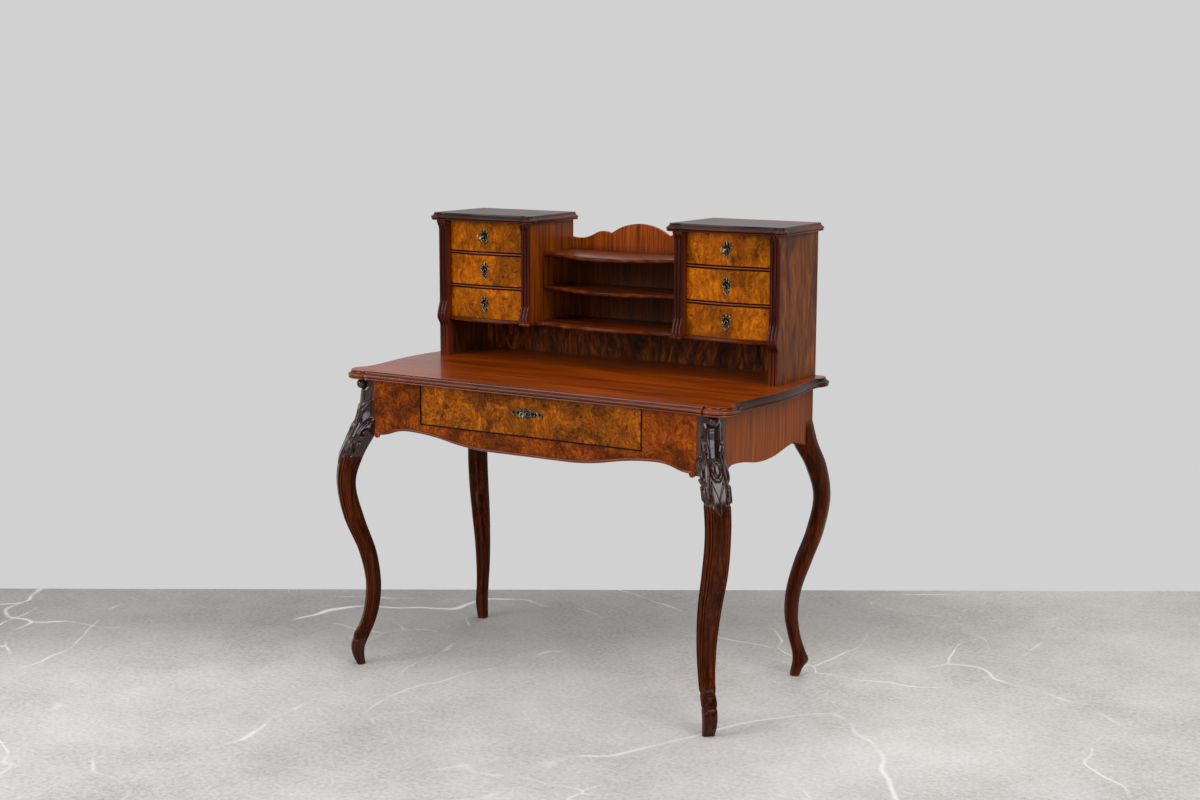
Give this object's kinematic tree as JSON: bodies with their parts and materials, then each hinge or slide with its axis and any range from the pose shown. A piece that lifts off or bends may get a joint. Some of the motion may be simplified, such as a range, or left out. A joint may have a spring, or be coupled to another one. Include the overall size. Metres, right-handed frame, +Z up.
{
  "type": "ladies' writing desk",
  "caption": "Free-standing walnut writing desk on cabriole legs, with a long drawer and a raised gallery: bow-fronted drawer cabinets either side of open shelves.",
  "frame": {"origin": "on the floor, under the middle of the desk's bounding box", "axes": "+X to the sitter's right, +Y away from the sitter, +Z up"},
  "size_m": [1.1376, 0.6278, 1.151],
  "materials": {
    "walnut_polished": "french polished",
    "walnut_dark": "french polished",
    "walnut_figured": "french polished veneer",
    "walnut_plain": "satin",
    "drawer_lining": "waxed",
    "brass": "worn",
    "steel": "polished"
  },
  "bodies": {
    "carcass": {"apron_back": "walnut_plain", "apron_bead": "walnut_dark", "apron_front": "walnut_figured", "apron_left": "walnut_figured", "apron_right": "walnut_figured", "back_panel": "walnut_figured", "cabinet_backs": "walnut_plain", "cabinet_top_left": "walnut_dark", "cabinet_top_right": "walnut_dark", "desk_drawer_runners": "drawer_lining", "desk_top": "walnut_polished", "desk_top_moulding": "walnut_dark", "drawer_rails_left": "walnut_dark", "drawer_rails_right": "walnut_dark", "ear_balls": "walnut_dark", "gallery_board": "walnut_figured", "leg_back_left": "walnut_dark", "leg_back_right": "walnut_dark", "leg_front_left": "walnut_dark", "leg_front_right": "walnut_dark", "mid_board": "walnut_dark", "shelf_lower": "walnut_dark", "shelf_upper": "walnut_dark", "side_inner_left": "walnut_dark", "side_inner_right": "walnut_dark", "side_outer_left": "walnut_figured", "side_outer_right": "walnut_figured", "stile_inner_left": "walnut_dark", "stile_inner_right": "walnut_dark", "stile_outer_left": "walnut_dark", "stile_outer_right": "walnut_dark"},
    "desk_drawer": {"desk_drawer_front": "walnut_figured", "desk_drawer_cockbead": "walnut_dark", "desk_drawer_box": "drawer_lining", "desk_drawer_lock": "brass"},
    "desk_drawer_bolt": {"desk_drawer_bolt": "steel"},
    "desk_drawer_key": {"desk_drawer_key": "steel"},
    "drawer_lower_left": {"drawer_lower_left_front": "walnut_figured", "drawer_lower_left_box": "drawer_lining", "drawer_lower_left_lock": "brass"},
    "drawer_lower_right": {"drawer_lower_right_front": "walnut_figured", "drawer_lower_right_box": "drawer_lining", "drawer_lower_right_lock": "brass"},
    "drawer_middle_left": {"drawer_middle_left_front": "walnut_figured", "drawer_middle_left_box": "drawer_lining", "drawer_middle_left_lock": "brass"},
    "drawer_middle_right": {"drawer_middle_right_front": "walnut_figured", "drawer_middle_right_box": "drawer_lining", "drawer_middle_right_lock": "brass"},
    "drawer_upper_left": {"drawer_upper_left_front": "walnut_figured", "drawer_upper_left_box": "drawer_lining", "drawer_upper_left_lock": "brass"},
    "drawer_upper_left_bolt": {"drawer_upper_left_bolt": "steel"},
    "drawer_upper_left_key": {"drawer_upper_left_key": "steel"},
    "drawer_upper_right": {"drawer_upper_right_front": "walnut_figured", "drawer_upper_right_box": "drawer_lining", "drawer_upper_right_lock": "brass"},
    "drawer_upper_right_bolt": {"drawer_upper_right_bolt": "steel"},
    "drawer_upper_right_key": {"drawer_upper_right_key": "steel"}
  },
  "joints": [
    {"name": "desk_drawer_slide", "type": "slide", "parent": "carcass", "child": "desk_drawer", "axis": [0, -1, 0], "range_m": [0, 0.32]},
    {"name": "desk_drawer_key_turn", "type": "hinge", "parent": "desk_drawer", "child": "desk_drawer_key", "pos_m": [0, -0.23259, 0.705], "axis": [0, 1, 0], "range_deg": [0, 180]},
    {"name": "desk_drawer_bolt_throw", "type": "slide", "parent": "desk_drawer", "child": "desk_drawer_bolt", "axis": [0, 0, 1], "range_m": [0, 0.0065]},
    {"name": "drawer_lower_left_slide", "type": "slide", "parent": "carcass", "child": "drawer_lower_left", "axis": [0, -1, 0], "range_m": [0, 0.12]},
    {"name": "drawer_lower_right_slide", "type": "slide", "parent": "carcass", "child": "drawer_lower_right", "axis": [0, -1, 0], "range_m": [0, 0.12]},
    {"name": "drawer_middle_left_slide", "type": "slide", "parent": "carcass", "child": "drawer_middle_left", "axis": [0, -1, 0], "range_m": [0, 0.12]},
    {"name": "drawer_middle_right_slide", "type": "slide", "parent": "carcass", "child": "drawer_middle_right", "axis": [0, -1, 0], "range_m": [0, 0.12]},
    {"name": "drawer_upper_left_slide", "type": "slide", "parent": "carcass", "child": "drawer_upper_left", "axis": [0, -1, 0], "range_m": [0, 0.12]},
    {"name": "drawer_upper_left_key_turn", "type": "hinge", "parent": "drawer_upper_left", "child": "drawer_upper_left_key", "pos_m": [-0.35905, 0.11041, 1.09167], "axis": [0, 1, 0], "range_deg": [0, 180]},
    {"name": "drawer_upper_left_bolt_throw", "type": "slide", "parent": "drawer_upper_left", "child": "drawer_upper_left_bolt", "axis": [0, 0, 1], "range_m": [0, 0.0065]},
    {"name": "drawer_upper_right_slide", "type": "slide", "parent": "carcass", "child": "drawer_upper_right", "axis": [0, -1, 0], "range_m": [0, 0.12]},
    {"name": "drawer_upper_right_key_turn", "type": "hinge", "parent": "drawer_upper_right", "child": "drawer_upper_right_key", "pos_m": [0.35905, 0.11041, 1.09167], "axis": [0, 1, 0], "range_deg": [0, 180]},
    {"name": "drawer_upper_right_bolt_throw", "type": "slide", "parent": "drawer_upper_right", "child": "drawer_upper_right_bolt", "axis": [0, 0, 1], "range_m": [0, 0.0065]}
  ],
  "couplings": [
    {"joint": "desk_drawer_key_turn", "follows": "desk_drawer_bolt_throw", "rad_per_m": 483.32},
    {"joint": "drawer_upper_left_key_turn", "follows": "drawer_upper_left_bolt_throw", "rad_per_m": 483.32},
    {"joint": "drawer_upper_right_key_turn", "follows": "drawer_upper_right_bolt_throw", "rad_per_m": 483.32}
  ]
}
